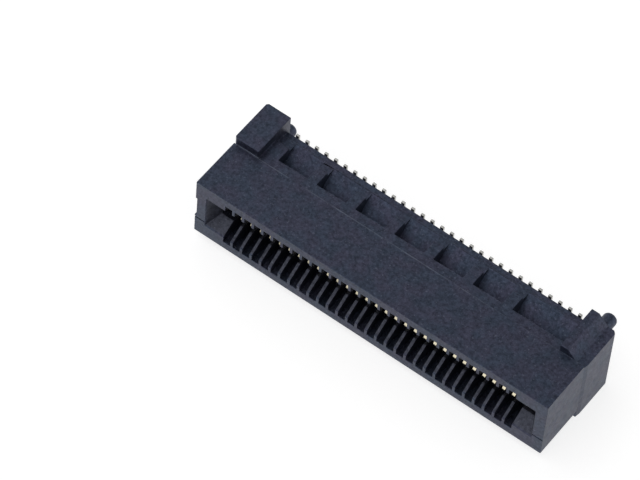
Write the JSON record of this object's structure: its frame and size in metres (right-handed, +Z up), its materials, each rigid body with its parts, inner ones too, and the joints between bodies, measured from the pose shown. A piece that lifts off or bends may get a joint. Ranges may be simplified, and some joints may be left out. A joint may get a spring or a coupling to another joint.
{
  "type": "edge card socket",
  "caption": "Straight surface-mount edge card socket: a black ribbed moulding with a wide mouth, two rows of gold spring contacts, two feet and two board pegs.",
  "frame": {"origin": "where the card's middle plane, the board's face and the middle of the contact rows meet", "axes": "+X along the rows, +Y out of the seat into the circuit board (the mouth faces -Y), +Z up with the socket lying on its long side"},
  "size_m": [0.0287, 0.0093, 0.0068],
  "materials": {
    "black_plastic": "satin",
    "gold_contact": "gold plated"
  },
  "bodies": {
    "root": {"housing": "black_plastic", "contact_pair_01": "gold_contact", "contact_pair_02": "gold_contact", "contact_pair_03": "gold_contact", "contact_pair_04": "gold_contact", "contact_pair_05": "gold_contact", "contact_pair_06": "gold_contact", "contact_pair_07": "gold_contact", "contact_pair_08": "gold_contact", "contact_pair_09": "gold_contact", "contact_pair_10": "gold_contact", "contact_pair_11": "gold_contact", "contact_pair_12": "gold_contact", "contact_pair_13": "gold_contact", "contact_pair_14": "gold_contact", "contact_pair_15": "gold_contact", "contact_pair_16": "gold_contact", "contact_pair_17": "gold_contact", "contact_pair_18": "gold_contact", "contact_pair_19": "gold_contact", "contact_pair_20": "gold_contact", "contact_pair_21": "gold_contact", "contact_pair_22": "gold_contact", "contact_pair_23": "gold_contact", "contact_pair_24": "gold_contact", "contact_pair_25": "gold_contact", "contact_pair_26": "gold_contact", "contact_pair_27": "gold_contact", "contact_pair_28": "gold_contact", "contact_pair_29": "gold_contact", "contact_pair_30": "gold_contact"}
  },
  "joints": []
}
